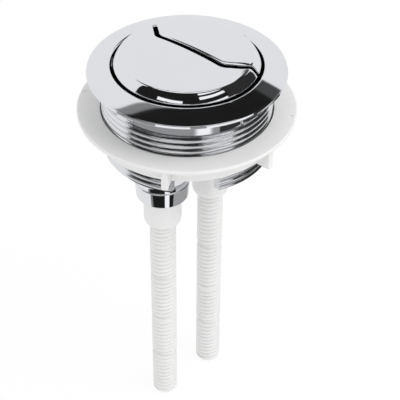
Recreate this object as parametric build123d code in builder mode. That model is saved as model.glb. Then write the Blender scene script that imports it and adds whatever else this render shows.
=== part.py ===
from build123d import *
import os
from math import radians, tan

# Dual flush push button for the lid of a toilet cistern, in millimetres.
# The bezel's seat on the lid is the plane Z = 0 and +Z is up. X runs from the full flush rod to the half
# flush rod, through the axis of the barrel.

# Buttons
BUTTON_OD = 51.2            # both caps together, inside the bezel
BUTTON_GAP = 1.0            # ring gap between the caps and the bezel
BUTTON_EDGE_INSET = 2.3     # width of the sloping edge, seen from above
BUTTON_EDGE_DROP = 3.3      # height of the sloping edge
BUTTON_STAND = 6.5          # top of the sloping edge above the lid
BUTTON_CROWN = 2.0          # rise of the domed top over its edge
BUTTON_WALL = 1.5
BUTTON_TRAVEL = 8.0         # press depth
FLOOR_CLEARANCE = 1.0       # left under a pressed cap
SPLIT_GAP = 1.7             # between the two caps
SPLIT_X = 1.15              # straight middle of the split
SPLIT_BEND_Y = 14.6         # where its ends turn towards the small cap
SPLIT_BEND_ANGLE = 42.0     # degrees
SPLIT_BEND_R = 3.5          # rounding of the two bends
SPLIT_TURN = 4.5            # degrees, the split against the plane across the rods
LUG_REACH = 1.7             # stop lugs stand out of the cap wall by this much
LUG_HEIGHT = 2.2
LUG_WIDTH = 5.5
LUG_SPREAD = 50.0           # degrees each side of the cap's middle
STOP_GAP = 0.3              # stop lugs below the guide skirt

# Bezel
BEZEL_SEAT = 4.6            # width of the seat outside the barrel
BEZEL_RIM = 1.0             # height of the outer rim
BEZEL_HEIGHT = 3.2          # inner edge above the lid
BEZEL_EDGE_R = 0.9          # rounding of the inner edge
BEZEL_RIM_R = 0.4           # rounding of the outer rim
RABBET_DEPTH = 0.4          # step under the bezel that takes the barrel's top
RABBET_CLEARANCE = 0.3      # round the thread crests
SKIRT_WALL = 1.3            # guide skirt that hangs inside the barrel
SKIRT_DEPTH = 7.0
SKIRT_CLEARANCE = 0.2
KEY_RISE = 0.1              # four smooth key bands end this far above the skirt's foot
KEY_RIB_WIDTH = 7.2         # threaded rib between two key bands
KEY_CLEARANCE = 0.1
KEY_RECESS = 0.9            # key bands lie inside the thread crests

# Threaded barrel
BARREL_WALL = 2.3
BARREL_SKIRT = 10.3         # threaded wall below the floor
FLOOR_THICKNESS = 2.0
CORNER_HALF = 14.5          # half width of the four legs left by the corner cuts
CORNER_DEPTH = 6.3          # height of the corner cuts at the lower end
CORNER_TURN = 5.0           # degrees, the corner cuts against the rods
THREAD_PITCH = 2.3
THREAD_DEPTH = 0.7
THREAD_ROOT = 0.4           # width of a groove at its root
THREAD_GROOVE = 1.8         # width of a groove at the crests
THREAD_TURNS = 13

# Guide sleeves, plungers and springs
ROD_SPACING = 25.4          # between the two rods' axes
PLUNGER_OD = 14.0
PLUNGER_DROP = 13.4         # stands out of the sleeve by this much
PLUNGER_SHOULDER_R = 1.8
PLUNGER_FIT = 0.05          # in the cap's boss
PLUNGER_PLAY = 0.1          # in the sleeve's guide lip
PLUNGER_SEAT = 7.0          # length held in the boss
BOSS_WALL = 2.15
BOSS_END = 8.0              # spring seat below the lid seat
WIRE_D = 0.9
WIRE_SIDES = 6              # facets of the wire
SPRING_TURNS = 8
SPRING_PLAY = 0.5           # inside, over the plunger
SPRING_SIDE_PLAY = 0.3      # outside, in the pocket
SPRING_END_PLAY = 0.05
SLEEVE_WALL = 1.25
SLEEVE_TIP = 9.3            # straight sleeve below its thicker root
SLEEVE_TAPER = 0.35         # radius lost below the bead
LIP_HEIGHT = 2.3            # guide lip under the spring pocket
BEAD_RISE = 6.6             # middle of the bead above the sleeve's end
BEAD_SIZE = 0.6
ROOT_FLARE = 1.85           # thicker root of the sleeve
ROOT_LENGTH = 13.0          # straight root below the floor
ROOT_CONE = 4.5             # height of its taper

# Rods
ROD_D = 10.0
ROD_REACH = 91.0            # below the plunger
ROD_ENGAGED = 34.0          # screwed into the plunger
ROD_ADJUST_ROOM = 16.7      # left above the rod in the bore
ROD_PLAY = 0.1              # in the plunger's bore
ROD_TIP_R = 0.8
BREAK_FIRST = 22.6          # first break-off groove from the lower end
BREAK_SPACING = 21.0
BREAK_COUNT = 3
BREAK_WIDTH = 1.2
BREAK_DEPTH = 0.7
FLAT_DEPTH = 0.35           # two flats along the rod
FLAT_MARGIN = 4.0           # full round length at each end
FLAT_TURN = 19.0            # degrees from the Y axis

# Lock nut
NUT_PLAY = 0.3              # over the thread crests
NUT_WALL = 2.7
NUT_FLANGE_WIDTH = 5.6
NUT_FLANGE = 1.6
NUT_FLANGE_R = 0.6
NUT_HEIGHT = 8.55           # flange and hub
NUT_TOP = 14.45             # flange below the lid seat, the lid's clamping room
NUT_TURN = -146.6           # degrees, where the nut came to rest
LUG_PAIR_ANGLE = 60.0
FINGER_LUG_WIDTH = 2.4
FINGER_LUG_DROP = 0.6       # below the hub
FINGER_LUG_INSET = 0.8      # inside the flange's edge
PIT_D = 1.6                 # moulding marks in the flange
PIT_DEPTH = 0.2
PIT_INSET = 2.0

# Sizes that follow from the ones above
button_r = BUTTON_OD / 2
skirt_bore_r = button_r + BUTTON_GAP
skirt_r = skirt_bore_r + SKIRT_WALL
barrel_bore_r = skirt_r + SKIRT_CLEARANCE
barrel_r = barrel_bore_r + BARREL_WALL
bezel_r = barrel_r + BEZEL_SEAT
key_r = barrel_r - KEY_RECESS
key_height = SKIRT_DEPTH - KEY_RISE
barrel_top = RABBET_DEPTH - KEY_CLEARANCE
cap_foot = SKIRT_DEPTH + STOP_GAP + LUG_HEIGHT
cap_top = BUTTON_STAND + BUTTON_CROWN
floor_depth = cap_foot + BUTTON_TRAVEL + FLOOR_CLEARANCE
floor_foot = floor_depth + FLOOR_THICKNESS
barrel_end = floor_foot + BARREL_SKIRT
rod_x = ROD_SPACING / 2
plunger_r = PLUNGER_OD / 2
boss_bore_r = plunger_r + PLUNGER_FIT
boss_r = boss_bore_r + BOSS_WALL
spring_r = plunger_r + SPRING_PLAY + WIRE_D / 2
pocket_r = spring_r + WIRE_D / 2 + SPRING_SIDE_PLAY
sleeve_r = pocket_r + SLEEVE_WALL
root_end = floor_foot + ROOT_LENGTH
sleeve_end = root_end + ROOT_CONE + SLEEVE_TIP
bead_depth = sleeve_end - BEAD_RISE
pocket_floor = sleeve_end - LIP_HEIGHT
plunger_end = sleeve_end + PLUNGER_DROP
rod_r = ROD_D / 2
rod_end = plunger_end + ROD_REACH
rod_length = ROD_REACH + ROD_ENGAGED
bore_depth = ROD_ENGAGED + ROD_ADJUST_ROOM
nut_bore_r = barrel_r + NUT_PLAY
nut_hub_r = nut_bore_r + NUT_WALL
nut_flange_r = nut_hub_r + NUT_FLANGE_WIDTH
OUTSIDE = 2 * nut_flange_r  # larger than any plan, for cutting shapes

# The full flush side lies towards -X and the half flush side towards +X.
SIDES = {"full_flush": -1, "half_flush": 1}

os.makedirs("parts", exist_ok=True)


def ring_plan(outer_r, inner_r):
    """Adds a flat ring to the open sketch."""
    Circle(outer_r)
    Circle(inner_r, mode=Mode.SUBTRACT)


def corner_plan(cross_width):
    """Adds the four corners that a cross of this width leaves free to the open sketch."""
    Rectangle(OUTSIDE, OUTSIDE)
    Rectangle(OUTSIDE, cross_width, mode=Mode.SUBTRACT)
    Rectangle(cross_width, OUTSIDE, mode=Mode.SUBTRACT)


def split_outline(side, inset):
    """Corners of the region on one side of the split, drawn in from the split's middle line."""
    offset = side * inset
    bend_y = SPLIT_BEND_Y - offset * tan(radians(SPLIT_BEND_ANGLE / 2))
    straight_x = SPLIT_X + offset
    end_x = straight_x + (OUTSIDE - bend_y) * tan(radians(SPLIT_BEND_ANGLE))
    far_x = side * 2 * OUTSIDE
    return [
        (end_x, OUTSIDE),
        (straight_x, bend_y),
        (straight_x, -bend_y),
        (end_x, -OUTSIDE),
        (far_x, -OUTSIDE),
        (far_x, OUTSIDE),
    ]


def button_form(side, inset):
    """Solid form of one cap, drawn in from its outer faces and from the split by the inset."""
    edge_r = button_r - BUTTON_EDGE_INSET - inset
    edge_z = BUTTON_STAND - inset
    with BuildPart() as form:
        with BuildSketch(Plane.XZ):
            with BuildLine():
                TangentArc((0, cap_top - inset), (edge_r, edge_z), tangent=(1, 0))
                Polyline(
                    (edge_r, edge_z),
                    (button_r - inset, edge_z - BUTTON_EDGE_DROP),
                    (button_r - inset, -cap_foot),
                    (0, -cap_foot),
                    (0, cap_top - inset),
                )
            make_face()
        revolve(axis=Axis.Z)
        with BuildSketch(Plane.XY.offset(-cap_foot).rotated((0, 0, SPLIT_TURN))):
            with BuildLine():
                FilletPolyline(*split_outline(side, SPLIT_GAP / 2 + inset), radius=SPLIT_BEND_R, close=True)
            make_face()
        extrude(amount=cap_foot + cap_top, mode=Mode.INTERSECT)
    return form.part


# Bezel: the cone on the lid, the guide skirt and four key bands that lock it in the barrel
with BuildPart() as bezel_ring:
    with BuildSketch(Plane.XZ):
        with BuildLine():
            Polyline(
                (skirt_bore_r, BEZEL_HEIGHT),
                (skirt_bore_r, -SKIRT_DEPTH),
                (skirt_r, -SKIRT_DEPTH),
                (skirt_r, RABBET_DEPTH),
                (barrel_r + RABBET_CLEARANCE, RABBET_DEPTH),
                (barrel_r + RABBET_CLEARANCE, 0),
                (bezel_r, 0),
                (bezel_r, BEZEL_RIM),
                close=True,
            )
        make_face()
        fillet(vertices().group_by(Axis.X)[-1], radius=BEZEL_RIM_R)
        fillet(vertices().sort_by(Axis.Y)[-1], radius=BEZEL_EDGE_R)
    revolve(axis=Axis.Z)
    with BuildSketch(Plane.XY.offset(-key_height)):
        corner_plan(KEY_RIB_WIDTH)
        Circle(key_r, mode=Mode.INTERSECT)
        Circle(skirt_bore_r, mode=Mode.SUBTRACT)
    extrude(amount=key_height + RABBET_DEPTH)
bezel_ring.part.label = "bezel_ring"
export_step(bezel_ring.part, "parts/bezel_ring.step")

# Barrel: wall with the thread as plain rings, floor and the two sleeves that guide the plungers and hold the springs
with BuildPart() as threaded_barrel:
    with BuildSketch(Plane.XY.offset(-barrel_end)):
        ring_plan(barrel_r, barrel_bore_r)
    extrude(amount=barrel_end + barrel_top)
    with BuildSketch(Plane.XZ):
        with Locations((barrel_r, (barrel_top - barrel_end) / 2)):
            with GridLocations(THREAD_PITCH, THREAD_PITCH, 1, THREAD_TURNS):
                Polygon(
                    (0, -THREAD_GROOVE / 2),
                    (0, THREAD_GROOVE / 2),
                    (-THREAD_DEPTH, THREAD_ROOT / 2),
                    (-THREAD_DEPTH, -THREAD_ROOT / 2),
                    align=None,
                )
    revolve(axis=Axis.Z, mode=Mode.SUBTRACT)
    with BuildSketch(Plane.XY.offset(-floor_foot)):
        Circle(barrel_bore_r + BARREL_WALL / 2)
    extrude(amount=FLOOR_THICKNESS)
    with BuildSketch(Plane.XY.offset(-key_height - KEY_CLEARANCE)):
        corner_plan(KEY_RIB_WIDTH - 2 * KEY_CLEARANCE)
    extrude(amount=key_height + KEY_CLEARANCE + barrel_top, mode=Mode.SUBTRACT)
    with BuildSketch(Plane.XY.offset(-barrel_end).rotated((0, 0, CORNER_TURN))):
        corner_plan(2 * CORNER_HALF)
    extrude(amount=CORNER_DEPTH, mode=Mode.SUBTRACT)
    for side in SIDES.values():
        with BuildSketch(Plane.XZ.move(Location((side * rod_x, 0, 0)))):
            with BuildLine():
                Polyline(
                    (sleeve_r, -bead_depth + BEAD_SIZE / 2),
                    (sleeve_r, -root_end - ROOT_CONE),
                    (sleeve_r + ROOT_FLARE, -root_end),
                    (sleeve_r + ROOT_FLARE, -floor_depth - FLOOR_THICKNESS / 2),
                    (0, -floor_depth - FLOOR_THICKNESS / 2),
                    (0, -sleeve_end),
                    (sleeve_r - SLEEVE_TAPER, -sleeve_end),
                    (sleeve_r, -bead_depth - BEAD_SIZE / 2),
                )
                ThreePointArc(
                    (sleeve_r, -bead_depth - BEAD_SIZE / 2),
                    (sleeve_r + BEAD_SIZE / 2, -bead_depth),
                    (sleeve_r, -bead_depth + BEAD_SIZE / 2),
                )
            make_face()
        revolve(axis=Axis((side * rod_x, 0, 0), (0, 0, 1)))
    with Locations(*[(side * rod_x, 0, -floor_depth) for side in SIDES.values()]):
        CounterBoreHole(
            radius=plunger_r + PLUNGER_PLAY,
            counter_bore_radius=pocket_r,
            counter_bore_depth=pocket_floor - floor_depth,
        )
threaded_barrel.part.label = "threaded_barrel"
export_step(threaded_barrel.part, "parts/threaded_barrel.step")

# Lock nut: flange that clamps the lid, hub and two pairs of finger lugs
with BuildPart() as lock_nut:
    with BuildSketch(Plane.XZ):
        with BuildLine():
            Polyline(
                (nut_bore_r, -NUT_TOP),
                (nut_flange_r, -NUT_TOP),
                (nut_flange_r, -NUT_TOP - NUT_FLANGE),
                (nut_hub_r, -NUT_TOP - NUT_FLANGE),
                (nut_hub_r, -NUT_TOP - NUT_HEIGHT),
                (nut_bore_r, -NUT_TOP - NUT_HEIGHT),
                close=True,
            )
        make_face()
        fillet(vertices().group_by(Axis.X)[-1], radius=NUT_FLANGE_R)
    revolve(axis=Axis.Z)
    lug_inner_r = nut_hub_r - NUT_WALL / 2
    lug_outer_r = nut_flange_r - FINGER_LUG_INSET
    with BuildSketch(Plane.XY.offset(-NUT_TOP - NUT_HEIGHT - FINGER_LUG_DROP)):
        for pair_turn in (NUT_TURN, NUT_TURN + LUG_PAIR_ANGLE):
            with PolarLocations((lug_inner_r + lug_outer_r) / 2, 2, start_angle=pair_turn):
                Rectangle(lug_outer_r - lug_inner_r, FINGER_LUG_WIDTH)
    extrude(amount=NUT_HEIGHT + FINGER_LUG_DROP - NUT_FLANGE / 2)
    with Locations((0, 0, -NUT_TOP)):
        with PolarLocations(nut_flange_r - PIT_INSET, 4, start_angle=NUT_TURN):
            Hole(PIT_D / 2, depth=PIT_DEPTH)
lock_nut.part.label = "lock_nut"
export_step(lock_nut.part, "parts/lock_nut.step")

for name, side in SIDES.items():
    axis_x = side * rod_x

    # Boss under the cap that takes the plunger and seats the spring, trimmed inside the cap's top
    with BuildPart() as boss:
        with BuildSketch(Plane.XY.offset(-BOSS_END)):
            with Locations((axis_x, 0)):
                ring_plan(boss_r, boss_bore_r)
        extrude(amount=BOSS_END + cap_top)
        add(button_form(side, BUTTON_WALL / 2), mode=Mode.INTERSECT)

    # Cap: thin shell with the boss inside and two stop lugs at its foot
    cap_middle = 90 - side * 90
    with BuildPart() as button:
        add(button_form(side, 0))
        add(button_form(side, BUTTON_WALL), mode=Mode.SUBTRACT)
        add(boss.part)
        with BuildSketch(Plane.XY.offset(-cap_foot)):
            with PolarLocations(button_r, 2, cap_middle - LUG_SPREAD, 2 * LUG_SPREAD, endpoint=True):
                Rectangle(4 * LUG_REACH, LUG_WIDTH)
            Circle(button_r + LUG_REACH, mode=Mode.INTERSECT)
            Circle(button_r - BUTTON_WALL / 2, mode=Mode.SUBTRACT)
        extrude(amount=LUG_HEIGHT)
    button.part.label = f"{name}_button"
    export_step(button.part, f"parts/{name}_button.step")

    # Plunger: stem held in the boss, with a blind bore for the rod
    with BuildPart() as plunger:
        with BuildSketch(Plane.XY.offset(-plunger_end)):
            with Locations((axis_x, 0)):
                Circle(plunger_r)
        extrude(amount=plunger_end - BOSS_END + PLUNGER_SEAT)
        fillet(plunger.edges().group_by(Axis.Z)[0], radius=PLUNGER_SHOULDER_R)
        with BuildSketch(Plane.XY.offset(-plunger_end)):
            with Locations((axis_x, 0)):
                Circle(rod_r + ROD_PLAY)
        extrude(amount=bore_depth, mode=Mode.SUBTRACT)
    plunger.part.label = f"{name}_plunger"
    export_step(plunger.part, f"parts/{name}_plunger.step")

    # Return spring between the sleeve's lip and the boss
    spring_foot = pocket_floor - WIRE_D / 2 - SPRING_END_PLAY
    spring_height = spring_foot - BOSS_END - WIRE_D / 2 - SPRING_END_PLAY
    with BuildPart() as spring:
        with BuildLine() as coil:
            Helix(spring_height / SPRING_TURNS, spring_height, spring_r, center=(axis_x, 0, -spring_foot))
        with BuildSketch(Plane(coil.line @ 0, x_dir=(0, 0, 1), z_dir=coil.line % 0)):
            RegularPolygon(WIRE_D / 2, WIRE_SIDES)
        sweep(path=coil.line, is_frenet=True)
    spring.part.label = f"{name}_spring"
    export_step(spring.part, f"parts/{name}_spring.step")

    # Rod: screwed into the plunger, with two flats and the grooves where it is broken to length
    groove_levels = [BREAK_FIRST + BREAK_SPACING * step - rod_end for step in range(BREAK_COUNT)]
    with BuildPart() as rod:
        with BuildSketch(Plane.XY.offset(-rod_end)):
            with Locations((axis_x, 0)):
                Circle(rod_r)
        extrude(amount=rod_length)
        fillet(rod.edges().filter_by(GeomType.CIRCLE), radius=ROD_TIP_R)
        with BuildSketch(Plane.XY.offset(FLAT_MARGIN - rod_end)):
            with Locations((axis_x, 0)):
                with PolarLocations(ROD_D - FLAT_DEPTH, 2, start_angle=90 + FLAT_TURN):
                    Rectangle(ROD_D, ROD_D)
        extrude(amount=rod_length - 2 * FLAT_MARGIN, mode=Mode.SUBTRACT)
        with BuildSketch(*[Plane.XY.offset(level - BREAK_WIDTH / 2) for level in groove_levels]):
            with Locations((axis_x, 0)):
                ring_plan(ROD_D, rod_r - BREAK_DEPTH)
        extrude(amount=BREAK_WIDTH, mode=Mode.SUBTRACT)
    rod.part.label = f"{name}_rod"
    export_step(rod.part, f"parts/{name}_rod.step")
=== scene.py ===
"""Push button cistern actuator: chrome bezel and split caps, threaded barrel, lock nut and two push rods.

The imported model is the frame. Sizes below are millimetres in that frame, with the bezel's seat on the lid
at height zero, and every piece is finished in metres and rides one of the model's bodies.
"""

import logging
import math
from dataclasses import dataclass, replace
from enum import Enum
from typing import Callable, Sequence

import bmesh
import bpy
from mathutils import Matrix, Vector


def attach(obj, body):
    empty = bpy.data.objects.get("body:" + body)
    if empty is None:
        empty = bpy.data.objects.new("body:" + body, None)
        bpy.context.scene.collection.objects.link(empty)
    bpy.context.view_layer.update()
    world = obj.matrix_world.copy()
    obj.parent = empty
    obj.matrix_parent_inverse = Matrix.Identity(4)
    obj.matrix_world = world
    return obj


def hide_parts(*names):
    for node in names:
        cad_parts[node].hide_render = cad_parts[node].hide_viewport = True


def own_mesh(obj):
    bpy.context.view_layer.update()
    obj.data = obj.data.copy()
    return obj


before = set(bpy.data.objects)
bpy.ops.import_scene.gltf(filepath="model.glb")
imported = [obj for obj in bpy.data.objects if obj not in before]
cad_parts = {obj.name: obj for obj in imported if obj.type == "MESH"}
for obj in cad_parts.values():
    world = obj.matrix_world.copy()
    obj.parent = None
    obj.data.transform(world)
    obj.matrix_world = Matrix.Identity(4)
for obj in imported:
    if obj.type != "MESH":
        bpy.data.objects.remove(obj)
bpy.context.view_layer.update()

LOG = logging.getLogger("actuator")
MM = 0.001  # metres in a millimetre
CLOSE = 1e-4  # points nearer than this are one
SEAM = 0.02  # closes the seam of a thread, or parts two pieces that would share a face
NEAR = 0.01  # how far off a ring or a line a point may lie and still count as on it
CREASE = 32.0  # degrees, a sharper fold keeps a hard edge
Point = tuple[float, float]
Limit = tuple[tuple[float, float, float], float]
EdgeTest = Callable[[bmesh.types.BMEdge], bool]


class Side(Enum):
    """The two flush sides, with the sign of their place along X."""

    FULL = -1
    HALF = 1

    @property
    def word(self) -> str:
        """Name that the model uses for this side."""
        return "full_flush" if self is Side.FULL else "half_flush"


class Slot(Enum):
    """Material slots of the record."""

    POLISHED = "polished_chrome"
    BARREL = "barrel_chrome"
    PLASTIC = "white_plastic"
    SPRING = "spring_steel"


class NodeBench:
    """Adds nodes to a material's or a world's tree and links them."""

    def __init__(self, tree: bpy.types.NodeTree) -> None:
        """Empties the tree.

        Args:
            tree: the tree to work in.
        """
        self.tree = tree
        tree.nodes.clear()

    def node(self, kind: str, **settings: object) -> bpy.types.Node:
        """Adds a node.

        Args:
            kind: Blender's name of the node type.
            settings: properties of the node, or values of the inputs with the same name in small letters.

        Returns:
            The new node.
        """
        made = self.tree.nodes.new(kind)
        for key, value in settings.items():
            socket = next((s for s in made.inputs if s.name.lower().replace(" ", "_") == key), None)
            if socket is not None:
                socket.default_value = value
            else:
                setattr(made, key, value)
        return made

    def link(self, source: bpy.types.NodeSocket, target: bpy.types.NodeSocket) -> None:
        """Links two sockets."""
        self.tree.links.new(source, target)


@dataclass(frozen=True)
class Finish:
    """A surface: two shades that drift into each other, a sheen that varies and a fine relief."""

    name: str
    light: tuple[float, float, float]
    dark: tuple[float, float, float]
    metallic: float
    sheen_low: float
    sheen_high: float
    cloud_size: float
    relief_size: float
    relief_depth: float
    relief_strength: float

    def material(self) -> bpy.types.Material:
        """Makes the material once and returns it afterwards.

        Returns:
            The node material of this finish.
        """
        known = bpy.data.materials.get(self.name)
        if known is not None:
            return known
        made = bpy.data.materials.new(self.name)
        made.use_nodes = True
        bench = NodeBench(made.node_tree)
        place = bench.node("ShaderNodeTexCoord")
        cloud = bench.node("ShaderNodeTexNoise", scale=1.0 / (self.cloud_size * MM), detail=3.0,
                           roughness=0.55)
        relief = bench.node("ShaderNodeTexNoise", scale=1.0 / (self.relief_size * MM), detail=2.0)
        shade = bench.node("ShaderNodeMix", data_type="RGBA")
        sheen = bench.node("ShaderNodeMapRange", from_min=0.3, from_max=0.7)
        sheen.inputs["To Min"].default_value = self.sheen_low
        sheen.inputs["To Max"].default_value = self.sheen_high
        bump = bench.node("ShaderNodeBump", strength=self.relief_strength, distance=self.relief_depth * MM)
        skin = bench.node("ShaderNodeBsdfPrincipled", metallic=self.metallic)
        out = bench.node("ShaderNodeOutputMaterial")
        shade.inputs[6].default_value = (*self.dark, 1.0)
        shade.inputs[7].default_value = (*self.light, 1.0)
        for noise in (cloud, relief):
            bench.link(place.outputs["Object"], noise.inputs["Vector"])
        bench.link(cloud.outputs["Fac"], shade.inputs[0])
        bench.link(cloud.outputs["Fac"], sheen.inputs["Value"])
        bench.link(relief.outputs["Fac"], bump.inputs["Height"])
        bench.link(shade.outputs[2], skin.inputs["Base Color"])
        bench.link(sheen.outputs["Result"], skin.inputs["Roughness"])
        bench.link(bump.outputs["Normal"], skin.inputs["Normal"])
        bench.link(skin.outputs["BSDF"], out.inputs["Surface"])
        return made


POLISHED_CHROME = Finish(
    name="polished plating", light=(0.91, 0.92, 0.94), dark=(0.87, 0.88, 0.90), metallic=1.0,
    sheen_low=0.03, sheen_high=0.06, cloud_size=14.0,
    relief_size=9.0, relief_depth=0.02, relief_strength=0.12)
BARREL_CHROME = Finish(
    name="plating on the thread", light=(0.92, 0.93, 0.95), dark=(0.82, 0.83, 0.85), metallic=1.0,
    sheen_low=0.10, sheen_high=0.22, cloud_size=1.4,
    relief_size=0.7, relief_depth=0.04, relief_strength=0.3)
WHITE_PLASTIC = Finish(
    name="moulded white plastic", light=(0.83, 0.83, 0.825), dark=(0.79, 0.79, 0.785), metallic=0.0,
    sheen_low=0.34, sheen_high=0.46, cloud_size=11.0,
    relief_size=0.6, relief_depth=0.02, relief_strength=0.15)
SPRING_STEEL = Finish(
    name="drawn spring wire", light=(0.62, 0.63, 0.65), dark=(0.48, 0.49, 0.51), metallic=1.0,
    sheen_low=0.22, sheen_high=0.38, cloud_size=2.5,
    relief_size=0.2, relief_depth=0.01, relief_strength=0.2)


class Workpiece:
    """A mesh on the bench, in millimetres until it is finished."""

    def __init__(self) -> None:
        """Starts with an empty mesh."""
        self.bm: bmesh.types.BMesh = bmesh.new()

    def everything(self) -> list:
        """All vertices, edges and faces."""
        return self.bm.verts[:] + self.bm.edges[:] + self.bm.faces[:]

    def tidy(self) -> None:
        """Merges doubles and turns all faces outwards."""
        bmesh.ops.remove_doubles(self.bm, verts=self.bm.verts[:], dist=CLOSE)
        bmesh.ops.recalc_face_normals(self.bm, faces=self.bm.faces[:])

    def draw(self, outline: Sequence[Point], closed: bool) -> list:
        """Draws an outline of radius and height in the XZ plane.

        Args:
            outline: the corners.
            closed: whether the last corner joins the first.

        Returns:
            The new vertices and edges.
        """
        verts = [self.bm.verts.new((radius, 0.0, height)) for radius, height in outline]
        pairs = list(zip(verts, verts[1:]))
        if closed:
            pairs.append((verts[-1], verts[0]))
        return verts + [self.bm.edges.new(pair) for pair in pairs]

    def turn(self, outline: Sequence[Point], steps: int, closed: bool = True) -> "Workpiece":
        """Turns an outline about the Z axis.

        Args:
            outline: corners as radius and height.
            steps: facets round the axis.
            closed: whether the outline is a closed loop.

        Returns:
            This workpiece.
        """
        bmesh.ops.spin(self.bm, geom=self.draw(outline, closed), cent=(0, 0, 0), axis=(0, 0, 1),
                       dvec=(0, 0, 0), angle=math.tau, steps=steps, use_merge=True)
        self.tidy()
        return self

    def screw(self, thread: "Thread", low: float, high: float, steps: int) -> "Workpiece":
        """Turns a thread's ridges into an open tube between two heights.

        Args:
            thread: the shape of the ridges.
            low: lower end.
            high: upper end.
            steps: facets round the axis.

        Returns:
            This workpiece.
        """
        geom = self.draw(thread.outline(low, high), False)
        bmesh.ops.spin(self.bm, geom=geom, cent=(0, 0, 0), axis=(0, 0, 1),
                       dvec=(0, 0, thread.pitch / steps), angle=math.tau, steps=steps, use_merge=False)
        bmesh.ops.remove_doubles(self.bm, verts=self.bm.verts[:], dist=SEAM)
        self.slice((0, 0, low), (0, 0, -1))
        self.slice((0, 0, high), (0, 0, 1))
        return self

    def slice(self, point: Sequence[float], normal: Sequence[float]) -> None:
        """Removes what lies beyond a plane.

        Args:
            point: a point of the plane.
            normal: the side that goes.
        """
        bmesh.ops.bisect_plane(self.bm, geom=self.everything(), dist=CLOSE, plane_co=point, plane_no=normal,
                               clear_outer=True)

    def close(self) -> "Workpiece":
        """Fills the flat openings that are left and turns all faces outwards.

        Returns:
            This workpiece.
        """
        rim = [edge for edge in self.bm.edges if edge.is_boundary]
        levels = sorted({round(edge.verts[0].co.z, 2) for edge in rim})
        for level in levels:
            ring = [edge for edge in rim
                    if edge.is_boundary and all(abs(v.co.z - level) < SEAM for v in edge.verts)]
            if ring:
                bmesh.ops.triangle_fill(self.bm, use_beauty=True, use_dissolve=False, edges=ring)
        self.tidy()
        return self

    def block(self, low: Sequence[float], high: Sequence[float], turn: float = 0.0) -> list:
        """Adds a box.

        Args:
            low: lowest corner.
            high: highest corner.
            turn: degrees about the Z axis.

        Returns:
            The new vertices.
        """
        size = [b - a for a, b in zip(low, high)]
        middle = [(a + b) / 2 for a, b in zip(low, high)]
        place = Matrix.Translation(middle) @ Matrix.Diagonal((*size, 1))
        place = Matrix.Rotation(math.radians(turn), 4, "Z") @ place
        return bmesh.ops.create_cube(self.bm, size=1.0, matrix=place)["verts"]

    def move(self, step: Sequence[float]) -> "Workpiece":
        """Moves the whole workpiece and returns it."""
        bmesh.ops.translate(self.bm, vec=step, verts=self.bm.verts[:])
        return self

    def add(self, part: "Workpiece") -> "Workpiece":
        """Takes over another workpiece's mesh.

        Args:
            part: the other workpiece, which is used up.

        Returns:
            This workpiece.
        """
        mesh = part.to_mesh("part")
        self.bm.from_mesh(mesh)
        bpy.data.meshes.remove(mesh)
        return self

    def to_mesh(self, name: str) -> bpy.types.Mesh:
        """Turns the workpiece into a mesh and frees it."""
        mesh = bpy.data.meshes.new(name)
        self.bm.to_mesh(mesh)
        self.bm.free()
        return mesh

    def cut(self, tool: "Workpiece") -> "Workpiece":
        """Cuts a closed tool away.

        Args:
            tool: the other closed workpiece, which is used up.

        Returns:
            This workpiece.
        """
        pair = []
        for name, part in (("blank", self), ("tool", tool)):
            holder = bpy.data.objects.new(name, part.to_mesh(name))
            bpy.context.scene.collection.objects.link(holder)
            pair.append(holder)
        blank, cutter = pair
        step = blank.modifiers.new("cut", "BOOLEAN")
        step.operation = "DIFFERENCE"
        step.solver = "EXACT"
        step.object = cutter
        view = bpy.context.evaluated_depsgraph_get()
        result = bpy.data.meshes.new_from_object(blank.evaluated_get(view))
        self.bm = bmesh.new()
        self.bm.from_mesh(result)
        spent = [blank.data, cutter.data, result]
        for holder in pair:
            bpy.data.objects.remove(holder)
        for mesh in spent:
            bpy.data.meshes.remove(mesh)
        return self

    def soften(self, width: float, segments: int, chosen: EdgeTest) -> "Workpiece":
        """Rounds edges.

        Args:
            width: distance from the edge to where the rounding starts.
            segments: facets across the rounding.
            chosen: says which edges are rounded.

        Returns:
            This workpiece.
        """
        edges = [edge for edge in self.bm.edges if chosen(edge)]
        bmesh.ops.bevel(self.bm, geom=edges, offset=width, offset_type="OFFSET", segments=segments,
                        profile=0.5, affect="EDGES", material=-1, clamp_overlap=False, loop_slide=True)
        return self

    def finish(self, name: str, body: str, slot: Slot, finish: Finish, *nodes: str,
               even: bool = True) -> bpy.types.Object:
        """Makes the object, dresses it and hangs it on its body.

        Args:
            name: name of the piece.
            body: body of the model that it rides on.
            slot: material slot of the record; not used.
            finish: its surface.
            nodes: nodes of the model that it stands for.
            even: whether large faces keep their own light up to their rounded edges.

        Returns:
            The finished object.
        """
        bmesh.ops.recalc_face_normals(self.bm, faces=self.bm.faces[:])
        for face in self.bm.faces:
            face.smooth = True
        for edge in self.bm.edges:
            edge.smooth = not sharp(edge, CREASE)
        bmesh.ops.scale(self.bm, vec=(MM, MM, MM), verts=self.bm.verts[:])
        piece = bpy.data.objects.new(name, self.to_mesh(name))
        bpy.context.scene.collection.objects.link(piece)
        piece.data.materials.append(finish.material())
        if even:
            normals = piece.modifiers.new("even light", "WEIGHTED_NORMAL")
            normals.weight = 50
            normals.keep_sharp = True
        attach(piece, body)
        if nodes:
            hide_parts(*nodes)
        LOG.info("%s: %d faces on %s", name, len(piece.data.polygons), body)
        return piece


def sharp(edge: bmesh.types.BMEdge, degrees: float) -> bool:
    """Whether an edge is folded by more than an angle.

    Args:
        edge: the edge.
        degrees: the angle.

    Returns:
        True for a fold that is sharper, and for an open edge.
    """
    if len(edge.link_faces) != 2:
        return True
    return edge.calc_face_angle(0.0) > math.radians(degrees)


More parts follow.
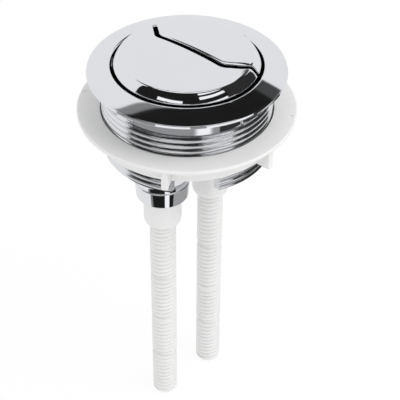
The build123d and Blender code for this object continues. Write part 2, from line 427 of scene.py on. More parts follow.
def ring_at(radius: float, height: float) -> EdgeTest:
    """Picks the ring of edges at a radius and a height.

    Args:
        radius: distance from the Z axis.
        height: height of the ring.

    Returns:
        The test for Workpiece.soften.
    """
    def test(edge: bmesh.types.BMEdge) -> bool:
        """Whether both ends lie on the ring."""
        return all(abs(v.co.z - height) < NEAR and abs(v.co.xy.length - radius) < NEAR for v in edge.verts)
    return test


@dataclass(frozen=True)
class Thread:
    """Rounded ridges of a moulded thread."""

    crest: float
    depth: float
    pitch: float
    samples: int
    fullness: float
    start: float = 0.0

    def radius(self, height: float) -> float:
        """Radius of the ridge outline at a height.

        Args:
            height: height along the axis.

        Returns:
            The radius, between root and crest.
        """
        wave = abs(math.cos(math.pi * (height - self.start) / self.pitch))
        return self.crest - self.depth * (1.0 - wave ** self.fullness)

    def outline(self, low: float, high: float) -> list[Point]:
        """Ridge outline that reaches a pitch past both ends.

        Args:
            low: lower end.
            high: upper end.

        Returns:
            Corners as radius and height.
        """
        step = self.pitch / self.samples
        count = math.ceil((high - low) / step) + 3 * self.samples
        start = low - 2 * self.pitch
        return [(self.radius(start + i * step), start + i * step) for i in range(count + 1)]


@dataclass
class Bezel:
    """Chrome cone on the lid, with its guide skirt and the four key bands that lock it in the barrel."""

    bore: float = 26.6
    height: float = 3.2
    skirt: float = 27.9
    skirt_depth: float = 7.0
    rabbet: float = 30.7
    rabbet_depth: float = 0.4
    outer: float = 35.0
    rim: float = 1.0
    rim_draft: float = 0.25
    swell: float = 0.06
    edge_round: float = 0.9
    rim_round: float = 0.2
    band: float = 29.5
    band_height: float = 6.9
    band_root: float = 0.5
    band_round: float = 0.2
    band_corner: float = 60.0
    band_slack: float = 0.1
    rib_half: float = 3.6
    facets: int = 256

    def cone(self) -> Workpiece:
        """Turns the cone, rim and skirt.

        Returns:
            The ring with rounded edges.
        """
        edge = self.outer - self.rim_draft
        rise = self.height - self.rim
        slope = [(edge + (self.bore - edge) * t, self.rim + rise * t + self.swell * 4 * t * (1 - t))
                 for t in (0.0, 0.15, 0.3, 0.45, 0.6, 0.75)]
        ring = Workpiece().turn([
            (self.bore, self.height), (self.bore, -self.skirt_depth), (self.skirt, -self.skirt_depth),
            (self.skirt, self.rabbet_depth), (self.rabbet, self.rabbet_depth), (self.rabbet, 0.0),
            (self.outer, 0.0), *slope], self.facets)
        ring.soften(self.edge_round, 8, ring_at(self.bore, self.height))
        ring.soften(self.rim_round, 4, ring_at(edge, self.rim))
        ring.soften(self.rim_round, 4, ring_at(self.outer, 0.0))
        return ring

    def bands(self) -> Workpiece:
        """Cuts one smooth key band and repeats it round the axis.

        Returns:
            The four bands.
        """
        inner = self.skirt - self.band_root
        top = self.rabbet_depth - SEAM
        band = Workpiece().turn([(inner, top), (inner, -self.band_height), (self.band, -self.band_height),
                                 (self.band, top)], self.facets)
        band.slice((self.rib_half, 0, 0), (-1, 0, 0))
        band.slice((0, self.rib_half, 0), (0, -1, 0))
        bmesh.ops.holes_fill(band.bm, edges=band.bm.edges[:], sides=0)
        band.tidy()

        def outside(edge: bmesh.types.BMEdge) -> bool:
            """Whether an edge is a corner of the band's outer face."""
            nearest = min(v.co.xy.length for v in edge.verts)
            return sharp(edge, self.band_corner) and nearest > self.band - self.band_slack

        band.soften(self.band_round, 3, outside)
        bmesh.ops.spin(band.bm, geom=band.everything(), cent=(0, 0, 0), axis=(0, 0, 1), dvec=(0, 0, 0),
                       angle=math.tau * 3 / 4, steps=3, use_duplicate=True)
        return band

    def build(self) -> None:
        """Makes the bezel."""
        ring = self.cone().add(self.bands())
        ring.finish("chrome_bezel", "housing", Slot.POLISHED, POLISHED_CHROME, "bezel_ring")


# sizes of the rings of faces that make a cap's top, from the edge inwards
DOME_RINGS = (0.93, 0.86, 0.78, 0.68, 0.57, 0.46, 0.35, 0.24, 0.13, 0.05)


@dataclass
class Cap:
    """One half of the split button: a domed shell with a boss and stop lugs inside."""

    side: Side
    radius: float = 25.6
    edge_inset: float = 2.3
    edge_drop: float = 3.3
    edge_bulge: float = 0.3
    split_fall: float = 0.4
    split_slope: float = 0.8
    split_fade: float = 3.0
    stand: float = 6.5
    crown: float = 2.0
    wall: float = 1.5
    foot: float = 9.5
    gap: float = 1.7
    split_x: float = 1.15
    bend_y: float = 14.6
    bend_angle: float = 42.0
    bend_round: float = 3.5
    split_turn: float = 4.5
    boss_x: float = 12.7
    boss_outer: float = 9.2
    boss_bore: float = 7.05
    boss_foot: float = 8.0
    lug_reach: float = 1.7
    lug_height: float = 2.2
    lug_half_angle: float = 6.0
    lug_spread: float = 50.0
    facets: int = 192
    boss_facets: int = 72
    lug_facets: int = 8
    bend_facets: int = 6
    slope_steps: int = 6
    corner_round: float = 0.25
    fold: float = 20.0
    bend_slack: float = 0.4
    short_edge: float = 0.5
    long_edge: float = 1.5
    edge_step: float = 0.9
    rim_room: float = 0.9
    corner_room: float = 1.6

    @property
    def spine(self) -> tuple[float, float]:
        """Place along X of the line that the top's rings shrink to, and its share of the cap's length."""
        return (-10.0, 0.6) if self.side is Side.FULL else (12.0, 0.5)

    @property
    def edge(self) -> float:
        """Radius of the top edge."""
        return self.radius - self.edge_inset

    @property
    def straight(self) -> float:
        """Place of the split's straight run on this side."""
        return self.split_x + self.side.value * self.gap / 2

    @property
    def bend(self) -> float:
        """Distance of the split's bends from the X axis on this side."""
        return self.bend_y - self.side.value * self.gap / 2 * math.tan(math.radians(self.bend_angle / 2))

    def dome(self, place: Vector) -> float:
        """Height of the domed top over a place in plan.

        Args:
            place: a point, of which X and Y count.

        Returns:
            The height.
        """
        ball = (self.edge ** 2 + self.crown ** 2) / (2 * self.crown)
        return self.stand + self.crown - ball + math.sqrt(ball ** 2 - place.xy.length_squared)

    def beyond(self, place: Vector) -> bool:
        """Whether a place in plan lies on the other cap's side of the split."""
        line = self.straight + max(0.0, abs(place.y) - self.bend) * math.tan(math.radians(self.bend_angle))
        return (place.x - line) * self.side.value < 0

    def blank(self) -> Workpiece:
        """Cuts this cap's plan out of a round blank.

        Returns:
            One flat face with rounded bends, at the cap's foot.
        """
        plan = Workpiece()
        bm = plan.bm
        bmesh.ops.create_circle(bm, cap_ends=True, radius=self.radius, segments=self.facets)
        lean = math.radians(self.bend_angle)
        lines = [((self.straight, 0, 0), (1, 0, 0))]
        lines += [((self.straight, s * self.bend, 0), (math.cos(lean), -s * math.sin(lean), 0))
                  for s in (-1, 1)]
        for point, normal in lines:
            bmesh.ops.bisect_plane(bm, geom=plan.everything(), dist=CLOSE, plane_co=point, plane_no=normal)
        waste = [face for face in bm.faces if self.beyond(face.calc_center_median())]
        bmesh.ops.delete(bm, geom=waste, context="FACES")
        bmesh.ops.dissolve_faces(bm, faces=bm.faces[:])
        for edge in [e for e in bm.edges if e.calc_length() < self.short_edge]:
            if edge.is_valid:
                loose = [v for v in edge.verts if not self.on_split(v.co)]
                bmesh.ops.dissolve_verts(bm, verts=loose[:1])
        bends = [v for v in bm.verts
                 if abs(v.co.x - self.straight) < NEAR and abs(abs(v.co.y) - self.bend) < NEAR]
        bmesh.ops.bevel(bm, geom=bends, offset=self.bend_round * math.tan(lean / 2),
                        segments=self.bend_facets, profile=0.5, affect="VERTICES", material=-1)
        for edge in [e for e in bm.edges if e.calc_length() > self.long_edge]:
            bmesh.ops.subdivide_edges(bm, edges=[edge], cuts=int(edge.calc_length() / self.edge_step))
        ends = [v.co.copy() for v in bm.verts
                if self.on_split(v.co) and v.co.xy.length > self.radius - NEAR]
        stray = [v for v in bm.verts if self.edge - self.rim_room < v.co.xy.length < self.radius - NEAR
                 or any(0 < (v.co - end).length < self.corner_room for end in ends)]
        bmesh.ops.dissolve_verts(bm, verts=stray)
        plan.move((0, 0, -self.foot))
        return plan

    def on_split(self, place: Vector, slack: float = NEAR) -> bool:
        """Whether a point of the plan lies on this side's line of the split.

        Args:
            place: the point.
            slack: how far off it may be, which takes in the rounded bends.

        Returns:
            True for a point of the split.
        """
        slope = math.tan(math.radians(self.bend_angle))
        return abs(place.x - self.straight - max(0.0, abs(place.y) - self.bend) * slope) < slack

    def drawn_in(self, place: Vector) -> Vector:
        """Where a point of the outline goes at the top edge.

        Args:
            place: a point of the outline at the foot.

        Returns:
            The point on the top edge, slid along the split where the split reaches the rim.
        """
        if place.xy.length < self.edge:
            return Vector((place.x, place.y, 0))
        if not self.on_split(place):
            return Vector((*(place.xy.normalized() * self.edge), 0))
        slope = math.tan(math.radians(self.bend_angle))
        run = self.straight - self.bend * slope
        grow = 1 + slope ** 2
        reach = (-slope * run + math.sqrt(grow * self.edge ** 2 - run ** 2)) / grow
        return Vector((run + slope * reach, math.copysign(reach, place.y), 0))

    def surface(self) -> Workpiece:
        """Raises the plan into a domed surface that is open at the foot.

        Returns:
            The surface.
        """
        cap = self.blank()
        bm = cap.bm
        shoulder = self.stand - self.edge_drop

        def raise_face(shape: Callable[[Vector], Vector]) -> None:
            """Extrudes the top face and gives its corners new places."""
            top = max(bm.faces, key=lambda face: len(face.verts))
            grown = bmesh.ops.extrude_face_region(bm, geom=[top])["geom"]
            bmesh.ops.delete(bm, geom=[top], context="FACES_ONLY")
            for vert in (item for item in grown if isinstance(item, bmesh.types.BMVert)):
                vert.co = shape(vert.co)

        def on_dome(place: Vector) -> Vector:
            """Lifts a point of the plan onto the dome."""
            return Vector((place.x, place.y, self.dome(place)))

        raise_face(lambda place: Vector((place.x, place.y, shoulder)))
        for step in range(1, self.slope_steps + 1):
            share = step / self.slope_steps
            part = 1 / (self.slope_steps + 1 - step)

            def lean(place: Vector) -> Vector:
                """Draws a point of the outline one step up the sloping edge."""
                goal = on_dome(self.drawn_in(place))
                if self.on_split(place) or place.xy.length < self.edge - CLOSE:
                    fade = (self.edge - goal.xy.length) / self.split_fade
                    goal.z -= self.split_fall * min(1.0, fade)
                lift = shoulder + (goal.z - shoulder) * share
                if place.xy.length > self.edge + CLOSE:
                    lift += self.edge_bulge * 4 * share * (1 - share)
                return Vector((*place.xy.lerp(goal.xy, part), lift))

            raise_face(lean)
        top = max(bm.faces, key=lambda face: len(face.verts))
        bmesh.ops.inset_region(bm, faces=[top], thickness=self.split_slope, use_boundary=True)
        for vert in top.verts:
            vert.co = on_dome(vert.co)
        heart, spine = self.spine
        left = 1.0
        for share in DOME_RINGS:
            across = share / left
            along = (spine + (1 - spine) * share) / (spine + (1 - spine) * left)
            left = share

            def shrink(place: Vector) -> Vector:
                """Draws a point of the top towards the spine."""
                return on_dome(Vector((heart + (place.x - heart) * across, place.y * along, 0)))

            raise_face(shrink)
        top = max(bm.faces, key=lambda face: len(face.verts))
        bmesh.ops.triangulate(bm, faces=[top], quad_method="BEAUTY", ngon_method="BEAUTY")
        cap.tidy()
        return cap

    def shell(self) -> Workpiece:
        """Makes the outer surface with rounded edges and closes it over a smaller inner one.

        Returns:
            The closed shell.
        """
        def outer(edge: bmesh.types.BMEdge) -> bool:
            """Whether an edge is a folded one of the split's wall or of the outer slope."""
            if edge.is_boundary or not edge.is_convex or not sharp(edge, self.fold):
                return False
            return all(self.on_split(v.co, self.bend_slack) or v.co.xy.length > self.edge - NEAR
                       for v in edge.verts)

        cap = self.surface()
        cap.soften(self.corner_round, 3, outer)
        inner = replace(self, radius=self.radius - self.wall, stand=self.stand - self.wall,
                        gap=self.gap + 2 * self.wall)
        cap.add(inner.surface()).close()
        turn = Matrix.Rotation(math.radians(self.split_turn), 3, "Z")
        bmesh.ops.rotate(cap.bm, cent=(0, 0, 0), matrix=turn, verts=cap.bm.verts[:])
        return cap

    def boss(self) -> Workpiece:
        """Makes the boss that takes the plunger, trimmed inside the domed top.

        Returns:
            The boss at its place.
        """
        ring = Workpiece().turn([
            (self.boss_bore, -self.boss_foot), (self.boss_outer, -self.boss_foot),
            (self.boss_outer, self.stand), (self.boss_bore, self.stand)], self.boss_facets)
        ring.move((self.side.value * self.boss_x, 0, 0))
        for vert in ring.bm.verts:
            if vert.co.z > 0:
                vert.co.z = self.dome(vert.co) - self.wall / 2
        return ring

    def lug(self, angle: float) -> Workpiece:
        """Makes one stop lug at the foot of the wall.

        Args:
            angle: its place in degrees.

        Returns:
            The lug.
        """
        lug = Workpiece()
        inner = self.radius - self.wall / 2
        outer = self.radius + self.lug_reach
        geom = lug.draw([(inner, -self.foot), (outer, -self.foot), (outer, self.lug_height - self.foot),
                         (inner, self.lug_height - self.foot)], True)
        start = Matrix.Rotation(math.radians(angle - self.lug_half_angle), 3, "Z")
        bmesh.ops.rotate(lug.bm, cent=(0, 0, 0), matrix=start, verts=lug.bm.verts[:])
        bmesh.ops.spin(lug.bm, geom=geom, cent=(0, 0, 0), axis=(0, 0, 1), dvec=(0, 0, 0),
                       angle=math.radians(2 * self.lug_half_angle), steps=self.lug_facets)
        bmesh.ops.holes_fill(lug.bm, edges=lug.bm.edges[:], sides=0)
        lug.tidy()
        return lug

    def build(self) -> None:
        """Makes the cap."""
        cap = self.shell().add(self.boss())
        middle = 90 - self.side.value * 90
        for spread in (-self.lug_spread, self.lug_spread):
            cap.add(self.lug(middle + spread))
        cap.finish(f"{self.side.word}_cap", f"{self.side.word}_assembly", Slot.POLISHED, POLISHED_CHROME,
                   f"{self.side.word}_button")


@dataclass
class Barrel:
    """Chrome threaded barrel with its floor and the two guide sleeves."""

    thread: Thread = Thread(30.4, 0.7, 2.3, 12, 0.8, -0.75)
    bore: float = 28.1
    top: float = 0.3
    end: float = 30.8
    window_depth: float = 7.0
    rib_half: float = 3.5
    leg_half: float = 14.5
    leg_height: float = 6.3
    leg_turn: float = 5.0
    floor_top: float = 18.5
    floor_foot: float = 20.5
    sleeve_x: float = 12.7
    sleeve: float = 9.95
    root: float = 11.8
    root_end: float = 33.5
    cone_end: float = 38.0
    bead_depth: float = 40.7
    bead: float = 0.3
    tip: float = 9.6
    sleeve_end: float = 47.3
    lip: float = 7.1
    pocket: float = 8.7
    pocket_floor: float = 45.0
    root_round: float = 0.6
    tip_round: float = 0.3
    cut_reach: float = 30.0
    cut_past: float = 5.0
    floor_bite: float = 0.6
    root_bite: float = 0.5
    thread_facets: int = 192
    facets: int = 128
    drill_facets: int = 96

    def corners(self, cutter: Workpiece, half: float, low: float, high: float, lean: float) -> None:
        """Adds the four corner blocks that leave a cross standing.

        Args:
            cutter: workpiece that takes the blocks.
            half: half width of the cross.
            low: lower end of the blocks.
            high: upper end of the blocks.
            lean: degrees by which the cross is turned.
        """
        far = half + self.cut_reach
        for turn in (0, 90, 180, 270):
            cutter.block((half, half, low), (far, far, high), turn + lean)

    def wall(self) -> Workpiece:
        """Makes the threaded wall with its windows and its four legs.

        Returns:
            The closed wall.
        """
        wall = Workpiece().screw(self.thread, -self.end, self.top, self.thread_facets)
        inside = [(self.bore, -self.end), (self.bore, self.top)]
        wall.add(Workpiece().turn(inside, self.thread_facets, False))
        wall.close()
        cutter = Workpiece()
        self.corners(cutter, self.rib_half, -self.window_depth, self.cut_past, 0.0)
        foot = -self.end - self.cut_past
        self.corners(cutter, self.leg_half, foot, self.leg_height - self.end, self.leg_turn)
        return wall.cut(cutter)

    def floor(self) -> Workpiece:
        """Makes the floor with the two holes over the sleeves.

        Returns:
            The closed floor.
        """
        rim = self.bore + self.floor_bite
        floor = Workpiece().turn([(0, -self.floor_top), (rim, -self.floor_top), (rim, -self.floor_foot),
                                  (0, -self.floor_foot)], self.facets, False)
        drill = Workpiece()
        for x in (-self.sleeve_x, self.sleeve_x):
            bmesh.ops.create_cone(drill.bm, cap_ends=True, segments=self.drill_facets, radius1=self.pocket,
                                  radius2=self.pocket, depth=2 * self.cut_past,
                                  matrix=Matrix.Translation((x, 0, -self.floor_top)))
        floor.cut(drill)
        bmesh.ops.dissolve_degenerate(floor.bm, dist=CLOSE, edges=floor.bm.edges[:])
        return floor

    def guide(self, x: float) -> Workpiece:
        """Turns one guide sleeve.

        Args:
            x: place of its axis.

        Returns:
            The sleeve at its place.
        """
        inside = self.floor_top + self.root_bite
        swing = [math.radians(90 - 30 * step) for step in range(7)]
        bulge = [(self.sleeve + self.bead * math.cos(a), -self.bead_depth + self.bead * math.sin(a))
                 for a in swing]
        guide = Workpiece().turn([
            (self.root, -inside), (self.root, -self.root_end), (self.sleeve, -self.cone_end), *bulge,
            (self.tip, -self.sleeve_end), (self.lip, -self.sleeve_end), (self.lip, -self.pocket_floor),
            (self.pocket, -self.pocket_floor), (self.pocket, -inside)], self.facets)
        guide.soften(self.root_round, 3, ring_at(self.root, -self.root_end))
        guide.soften(self.root_round, 3, ring_at(self.sleeve, -self.cone_end))
        guide.soften(self.tip_round, 3, ring_at(self.tip, -self.sleeve_end))
        guide.soften(self.tip_round, 2, ring_at(self.lip, -self.sleeve_end))
        return guide.move((x, 0, 0))

    def build(self) -> None:
        """Makes the barrel's wall and its floor with the sleeves."""
        self.wall().finish("barrel_thread", "housing", Slot.BARREL, BARREL_CHROME, "threaded_barrel")
        guides = self.floor()
        for x in (-self.sleeve_x, self.sleeve_x):
            guides.add(self.guide(x))
        guides.finish("barrel_guides", "housing", Slot.BARREL, POLISHED_CHROME)


@dataclass
class LockNut:
    """White flanged nut with finger lugs."""

    bore: float = 30.7
    hub: float = 33.4
    flange: float = 39.0
    top: float = 14.45
    flange_height: float = 1.6
    height: float = 8.55
    edge_round: float = 0.6
    turn: float = -146.6
    pair_angle: float = 60.0
    lug_inner: float = 32.05
    lug_outer: float = 38.2
    lug_half: float = 1.2
    lug_drop: float = 0.6
    lug_root: float = 0.8
    lug_round: float = 0.4
    hub_round: float = 0.4
    mouth_round: float = 0.3
    root_fillet: float = 0.5
    pit: float = 0.8
    pit_depth: float = 0.2
    pit_radius: float = 37.0
    pit_facets: int = 24
    facets: int = 256

    def ring(self) -> Workpiece:
        """Turns flange and hub with rounded edges.

        Returns:
            The ring.
        """
        under = -self.top - self.flange_height
        foot = -self.top - self.height
        ring = Workpiece().turn([(self.bore, -self.top), (self.flange, -self.top), (self.flange, under),
                                 (self.hub, under), (self.hub, foot), (self.bore, foot)], self.facets)
        for radius, height, width in (
                (self.flange, -self.top, self.edge_round), (self.flange, under, self.edge_round),
                (self.hub, foot, self.hub_round), (self.bore, foot, self.hub_round),
                (self.bore, -self.top, self.mouth_round), (self.hub, under, self.root_fillet)):
            ring.soften(width, 4, ring_at(radius, height))
        return ring

    def lugs(self) -> Workpiece:
        """Makes the two pairs of finger lugs.

        Returns:
            The four lugs.
        """
        lugs = Workpiece()
        low = (self.lug_inner, -self.lug_half, -self.top - self.height - self.lug_drop)
        high = (self.lug_outer, self.lug_half, -self.top - self.lug_root)
        for step in (0.0, self.pair_angle, 180.0, 180.0 + self.pair_angle):
            lug = Workpiece()
            lug.block(low, high, self.turn + step)
            lug.soften(self.lug_round, 3, lambda edge: True)
            lugs.add(lug)
        return lugs

    def build(self) -> None:
        """Makes the nut."""
        pits = Workpiece()
        for step in (0, 90, 180, 270):
            turned = Matrix.Rotation(math.radians(self.turn + step), 4, "Z")
            place = turned @ Matrix.Translation((self.pit_radius, 0, -self.top))
            bmesh.ops.create_cone(pits.bm, cap_ends=True, segments=self.pit_facets, radius1=self.pit,
                                  radius2=self.pit, depth=2 * self.pit_depth, matrix=place)
        nut = self.ring().cut(pits).add(self.lugs())
        nut.finish("flanged_nut", "nut_body", Slot.PLASTIC, WHITE_PLASTIC, "lock_nut")


@dataclass
class Stem:
    """White plunger under one cap, bored for its rod."""

    side: Side
    x: float = 12.7
    radius: float = 7.0
    top: float = 1.0
    end: float = 60.7
    bore: float = 5.1
    bore_top: float = 10.0
    shoulder_in: float = 1.75
    shoulder_up: float = 2.6
    facets: int = 96

    def build(self) -> None:
        """Makes the plunger."""
        swing = [math.radians(10 * step) for step in range(10)]
        shoulder = [(self.radius - self.shoulder_in * (1 - math.cos(a)),
                     self.shoulder_up * (1 - math.sin(a)) - self.end) for a in swing]
        stem = Workpiece().turn([
            (0, -self.top), (self.radius, -self.top), *shoulder, (self.bore, -self.end),
            (self.bore, -self.bore_top), (0, -self.bore_top)], self.facets, False)
        stem.move((self.side.value * self.x, 0, 0))
        stem.finish(f"{self.side.word}_stem", f"{self.side.word}_assembly", Slot.PLASTIC, WHITE_PLASTIC,
                    f"{self.side.word}_plunger")


@dataclass
class PushRod:
    """White threaded rod with two flats and the grooves where it is broken to length."""

    side: Side
    x: float = 12.7
    thread: Thread = Thread(5.0, 0.95, 2.0, 12, 0.6)
    end: float = 151.7
    length: float = 125.0
    first_groove: float = 22.6
    groove_step: float = 21.0
    grooves: int = 3
    groove_half: float = 0.6
    neck: float = 3.9
    heart: float = 3.6
    collar: float = 4.85
    collar_height: float = 1.2
    flat: float = 4.65
    flat_margin: float = 4.0
    flat_turn: float = 109.0
    tip_round: float = 1.0
    tip_height: float = 1.5
    tip_plain: float = 1.0
    bite: float = 0.1
    collar_slope: float = 0.2
    neck_slope: float = 0.3
    core_short: float = 0.3
    facets: int = 64

    def run(self, low: float, high: float, flats: bool) -> Workpiece:
        """Makes one threaded run.

        Args:
            low: lower end above the rod's foot.
            high: upper end above the rod's foot.
            flats: whether the two flats are cut.

        Returns:
            The closed run.
        """
        run = Workpiece().screw(self.thread, low - self.end, high - self.end, self.facets)
        run.close()
        if flats:
            bearing = math.radians(self.flat_turn)
            away = Vector((math.cos(bearing), math.sin(bearing), 0))
            for normal in (away, -away):
                run.slice(normal * self.flat, normal)
                bmesh.ops.holes_fill(run.bm, edges=run.bm.edges[:], sides=0)
            run.tidy()
        return run

    def core(self) -> Workpiece:
        """Turns the core that shows in the grooves, with a plain collar under each and the rounded foot.

        Returns:
            The closed core.
        """
        foot = -self.end
        swing = [math.radians(15 * step) for step in range(7)]
        outline = [(0, foot)]
        outline += [(self.collar - self.tip_round * (1 - math.sin(a)),
                     foot + self.tip_round * (1 - math.cos(a))) for a in swing]
        outline += [(self.collar, foot + self.tip_height), (self.heart, foot + self.tip_height)]
        for index in range(self.grooves):
            level = foot + self.first_groove + index * self.groove_step - self.groove_half
            low = level - self.collar_height - self.bite
            high = level + 2 * self.groove_half + self.bite
            outline += [(self.heart, low), (self.collar, low), (self.collar, level - self.collar_slope),
                        (self.neck, level + self.neck_slope), (self.neck, high), (self.heart, high)]
        head = foot + self.length - self.core_short
        outline += [(self.heart, head), (0, head)]
        return Workpiece().turn(outline, self.facets, False)

    def build(self) -> None:
        """Makes the rod."""
        rod = self.core()
        rod.add(self.run(self.tip_plain, self.flat_margin - SEAM, False))
        low = self.flat_margin
        for index in range(self.grooves):
            level = self.first_groove + index * self.groove_step
            rod.add(self.run(low, level - self.groove_half - self.collar_height, True))
            low = level + self.groove_half
        rod.add(self.run(low, self.length - self.flat_margin, True))
        rod.add(self.run(self.length - self.flat_margin + SEAM, self.length, False))
        rod.move((self.side.value * self.x, 0, 0))
        rod.finish(f"{self.side.word}_push_rod", f"{self.side.word}_rod_body", Slot.PLASTIC, WHITE_PLASTIC,
                   f"{self.side.word}_rod")


@dataclass
class ReturnSpring:
    """Coil spring under one cap, which the cap squeezes when pressed; here it is wound at rest."""

    side: Side
    x: float = 12.7
    radius: float = 7.95
    wire: float = 0.45
    foot: float = 45.0
    top: float = 8.0
    play: float = 0.05
    turns: int = 8
    turn_steps: int = 40
    wire_sides: int = 12
    travel: float = 8.0

    def build(self) -> None:
        """Winds the wire."""
        coil = Workpiece()
        low = -self.foot + self.wire + self.play
        height = self.foot - self.top - 2 * (self.wire + self.play)
        place = Matrix.Translation((self.radius, 0, low)) @ Matrix.Rotation(math.radians(90), 4, "X")
        bmesh.ops.create_circle(coil.bm, cap_ends=False, radius=self.wire, segments=self.wire_sides,
                                matrix=place)
        steps = self.turn_steps * self.turns
        bmesh.ops.spin(coil.bm, geom=coil.everything(), cent=(0, 0, 0), axis=(0, 0, 1),
                       dvec=(0, 0, height / steps), angle=math.tau * self.turns, steps=steps)
        bmesh.ops.holes_fill(coil.bm, edges=coil.bm.edges[:], sides=0)
        coil.move((self.side.value * self.x, 0, 0))
        spring = coil.finish(f"{self.side.word}_coil", "housing", Slot.SPRING, SPRING_STEEL,
                             f"{self.side.word}_spring", even=False)
        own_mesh(spring)


class Patch:
    """A part of the room that chrome mirrors, bounded by planes."""

    def __init__(self, level: float, soft: float, *limits: Limit) -> None:
        """Notes the patch.

        Args:
            level: its brightness, where 1 is white.
            soft: half width of its edges.
            limits: directions, each with how far a mirrored ray has to lean that way.
        """
        self.level = level
        self.soft = soft
        self.limits = limits

    @classmethod
    def pane(cls, level: float, start: float, stop: float, low: float, high: float,
             soft: float = 0.012) -> "Patch":
        """Makes an upright pane.

        Args:
            level: its brightness.
            start: bearing of its left edge in degrees, to the right of the way the camera looks.
            stop: bearing of its right edge.
            low: height of its lower edge in degrees.
            high: height of its upper edge.
            soft: half width of its edges.

        Returns:
            The patch.
        """
        first = math.radians(start)
        last = math.radians(stop)
        return cls(level, soft, ((math.cos(first), -math.sin(first), 0.0), 0.0),
                   ((-math.cos(last), math.sin(last), 0.0), 0.0),
                   ((0.0, 0.0, 1.0), math.sin(math.radians(low))),
                   ((0.0, 0.0, -1.0), -math.sin(math.radians(high))))

    def paint(self, bench: NodeBench, ray: bpy.types.NodeSocket,
              below: bpy.types.NodeSocket) -> bpy.types.NodeSocket:
        """Adds the nodes that paint the patch over what is there.

        Args:
            bench: the world's node bench.
            ray: direction of the mirrored ray.
            below: brightness so far.

        Returns:
            The brightness with the patch.
        """
        share = None
        for axis, edge in self.limits:
            reach = bench.node("ShaderNodeVectorMath", operation="DOT_PRODUCT")
            reach.inputs[1].default_value = axis
            step = bench.node("ShaderNodeMapRange", interpolation_type="SMOOTHSTEP",
                              from_min=edge - self.soft, from_max=edge + self.soft)
            bench.link(ray, reach.inputs[0])
            bench.link(reach.outputs["Value"], step.inputs["Value"])
            if share is None:
                share = step.outputs["Result"]
                continue
            both = bench.node("ShaderNodeMath", operation="MULTIPLY")
            bench.link(share, both.inputs[0])
            bench.link(step.outputs["Result"], both.inputs[1])
            share = both.outputs[0]
        mixed = bench.node("ShaderNodeMix", data_type="FLOAT")
        mixed.inputs[3].default_value = self.level
        bench.link(share, mixed.inputs[0])
        bench.link(below, mixed.inputs[2])
        return mixed.outputs[0]


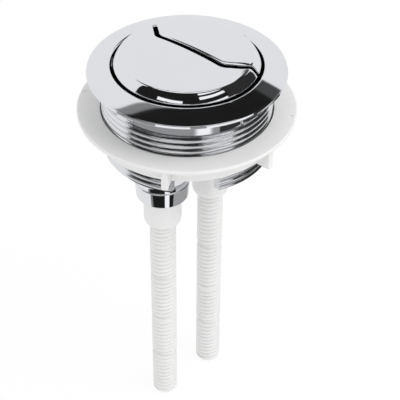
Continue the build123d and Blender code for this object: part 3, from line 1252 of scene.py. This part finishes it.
@dataclass
class Studio:
    """Pale floor, soft light and the camera at the photograph's angle."""

    floor_height: float = -151.7
    floor_size: float = 6.0
    camera_place: tuple[float, float, float] = (-251.38, -249.60, 235.89)
    heading: float = 44.0
    down: float = 39.74
    roll: float = 0.6
    lens: float = 110.04
    wall_level: float = 0.82
    fill_level: float = 0.95
    floor_gap: float = 0.2
    floor_shade: float = 0.92
    floor_glow: float = 0.9
    lamp_distance: float = 0.9

    def camera(self) -> None:
        """Sets up the camera."""
        data = bpy.data.cameras.new("camera")
        data.lens = self.lens
        data.sensor_width = 36.0
        data.clip_start = 0.01
        eye = bpy.data.objects.new("camera", data)
        bpy.context.scene.collection.objects.link(eye)
        turn = Matrix.Rotation(math.radians(self.heading - 90), 4, "Z")
        tilt = Matrix.Rotation(math.radians(90 - self.down), 4, "X")
        lean = Matrix.Rotation(math.radians(self.roll), 4, "Z")
        eye.matrix_world = Matrix.Translation(Vector(self.camera_place) * MM) @ turn @ tilt @ lean
        bpy.context.scene.camera = eye

    def floor(self) -> None:
        """Lays the floor, white to the camera apart from a faint shadow."""
        sheet = Workpiece()
        bmesh.ops.create_grid(sheet.bm, x_segments=2, y_segments=2, size=self.floor_size / 2)
        sheet.move((0, 0, (self.floor_height - self.floor_gap) * MM))
        floor = bpy.data.objects.new("floor", sheet.to_mesh("floor"))
        bpy.context.scene.collection.objects.link(floor)
        paint = bpy.data.materials.new("pale floor")
        paint.use_nodes = True
        bench = NodeBench(paint.node_tree)
        path = bench.node("ShaderNodeLightPath")
        matt = bench.node("ShaderNodeBsdfDiffuse", color=(*[self.floor_shade] * 3, 1.0))
        glow = bench.node("ShaderNodeEmission", color=(1.0, 1.0, 1.0, 1.0), strength=1.0)
        share = bench.node("ShaderNodeMath", operation="MULTIPLY")
        share.inputs[1].default_value = self.floor_glow
        mix = bench.node("ShaderNodeMixShader")
        out = bench.node("ShaderNodeOutputMaterial")
        bench.link(path.outputs["Is Camera Ray"], share.inputs[0])
        bench.link(share.outputs[0], mix.inputs[0])
        bench.link(matt.outputs[0], mix.inputs[1])
        bench.link(glow.outputs[0], mix.inputs[2])
        bench.link(mix.outputs[0], out.inputs["Surface"])
        floor.data.materials.append(paint)
        floor.visible_glossy = False

    def patches(self) -> list[Patch]:
        """Lists what the chrome mirrors, each painted over the ones before it.

        Returns:
            The patches, with bearings in degrees to the right of the way the camera looks.
        """
        front = (0.0, -0.848, 0.530)
        right = (1.0, 0.0, 0.0)
        left = (-1.0, 0.0, 0.0)
        up = (0.0, 0.0, 1.0)
        down = (0.0, 0.0, -1.0)
        near = (0.0, -1.0, 0.0)
        away = (0.0, 1.0, 0.0)
        return [
            # the dark room behind the photographer, with the paler ceiling and a grey part near the table
            Patch(0.22, 0.010, (front, -0.01), (left, 0.05)),
            Patch(0.062, 0.008, (right, 0.205), (up, 0.615)),
            Patch(0.35, 0.03, (right, 0.40), (down, 0.63)),
            Patch(0.012, 0.008, (right, 0.205), (up, 0.70)),
            Patch(0.012, 0.012, (front, 0.06)),
            Patch(0.012, 0.008, (front, -0.02), (right, -0.02)),
            Patch(0.88, 0.010, (up, 0.90), (near, -0.30), (away, -0.40)),
            # grey and dark parts low down, and the wall on the left
            Patch.pane(0.30, 100, 260, -37.9, 10),
            Patch.pane(0.03, 60, 134, -37.9, -18),
            Patch.pane(self.wall_level, 258, 320, -20, 50),
            Patch.pane(0.026, 60, 116, -16, 62),
            # windows that the rim and the bands show
            Patch.pane(0.95, 106, 159, -14, 4),
            Patch.pane(0.95, 176, 212, -14, 4),
            Patch.pane(1.0, 147, 167, -65, -39),
            Patch.pane(1.0, 146, 167, -40, -22, 0.06),
            # strip lamps that the caps' sloping edge shows
            Patch.pane(1.0, 118, 160, 42, 50),
            Patch.pane(1.0, 118, 160, 27, 35),
            Patch.pane(1.0, 118, 150, 11, 17),
            Patch.pane(1.0, 186, 224, 19, 26),
        ]

    def room(self) -> None:
        """Builds the white room that the chrome mirrors, dark on the photographer's side."""
        world = bpy.data.worlds.new("studio")
        world.use_nodes = True
        bench = NodeBench(world.node_tree)
        sky = bench.node("ShaderNodeTexCoord")
        face = bench.node("ShaderNodeMapping", vector_type="VECTOR")
        face.inputs["Rotation"].default_value = (0, 0, math.radians(90 - self.heading))
        bench.link(sky.outputs["Generated"], face.inputs["Vector"])
        level = bench.node("ShaderNodeValue").outputs[0]
        level.default_value = self.wall_level
        for patch in self.patches():
            level = patch.paint(bench, face.outputs[0], level)
        seen = bench.node("ShaderNodeBackground", color=(1.0, 1.0, 1.0, 1.0), strength=1.0)
        mirrored = bench.node("ShaderNodeBackground", color=(0.985, 0.99, 1.0, 1.0))
        fill = bench.node("ShaderNodeBackground", color=(1.0, 1.0, 1.0, 1.0), strength=self.fill_level)
        path = bench.node("ShaderNodeLightPath")
        clear = bench.node("ShaderNodeMath", operation="MAXIMUM")
        first = bench.node("ShaderNodeMixShader")
        second = bench.node("ShaderNodeMixShader")
        out = bench.node("ShaderNodeOutputWorld")
        bench.link(level, mirrored.inputs["Strength"])
        bench.link(path.outputs["Is Glossy Ray"], clear.inputs[0])
        bench.link(path.outputs["Is Transmission Ray"], clear.inputs[1])
        bench.link(clear.outputs[0], first.inputs[0])
        bench.link(fill.outputs[0], first.inputs[1])
        bench.link(mirrored.outputs[0], first.inputs[2])
        bench.link(path.outputs["Is Camera Ray"], second.inputs[0])
        bench.link(first.outputs[0], second.inputs[1])
        bench.link(seen.outputs[0], second.inputs[2])
        bench.link(second.outputs[0], out.inputs["Surface"])
        bpy.context.scene.world = world

    def lamp(self, name: str, azimuth: float, height: float, size: float, level: float) -> None:
        """Hangs a square lamp that points at the object and that chrome doesn't show.

        Args:
            name: name of the lamp.
            azimuth: degrees to the right of the way the camera looks.
            height: degrees above the horizon.
            size: width and height in metres.
            level: brightness of its face, where 1 is white.
        """
        data = bpy.data.lights.new(name, "AREA")
        data.shape = "RECTANGLE"
        data.size = size
        data.size_y = size
        data.energy = math.pi * size * size * level
        lamp = bpy.data.objects.new(name, data)
        bpy.context.scene.collection.objects.link(lamp)
        lamp.visible_glossy = False
        lamp.visible_camera = False
        bearing = math.radians(self.heading - azimuth)
        lift = math.radians(height)
        way = Vector((math.cos(bearing) * math.cos(lift), math.sin(bearing) * math.cos(lift),
                      math.sin(lift)))
        aim = way.to_track_quat("Z", "Y").to_matrix().to_4x4()
        lamp.matrix_world = Matrix.Translation(way * self.lamp_distance) @ aim

    def build(self) -> None:
        """Sets up floor, light and camera."""
        self.camera()
        self.floor()
        self.room()
        self.lamp("soft key", azimuth=110.0, height=50.0, size=0.6, level=2.4)
        bpy.context.scene.view_settings.view_transform = "Standard"


def main() -> None:
    """Builds the pieces in order, then the studio."""
    logging.basicConfig(level=logging.INFO, format="%(message)s")
    Studio().build()
    Bezel().build()
    Barrel().build()
    LockNut().build()
    for side in Side:
        Cap(side).build()
        Stem(side).build()
        PushRod(side).build()
        ReturnSpring(side).build()


if __name__ == "__main__":
    main()
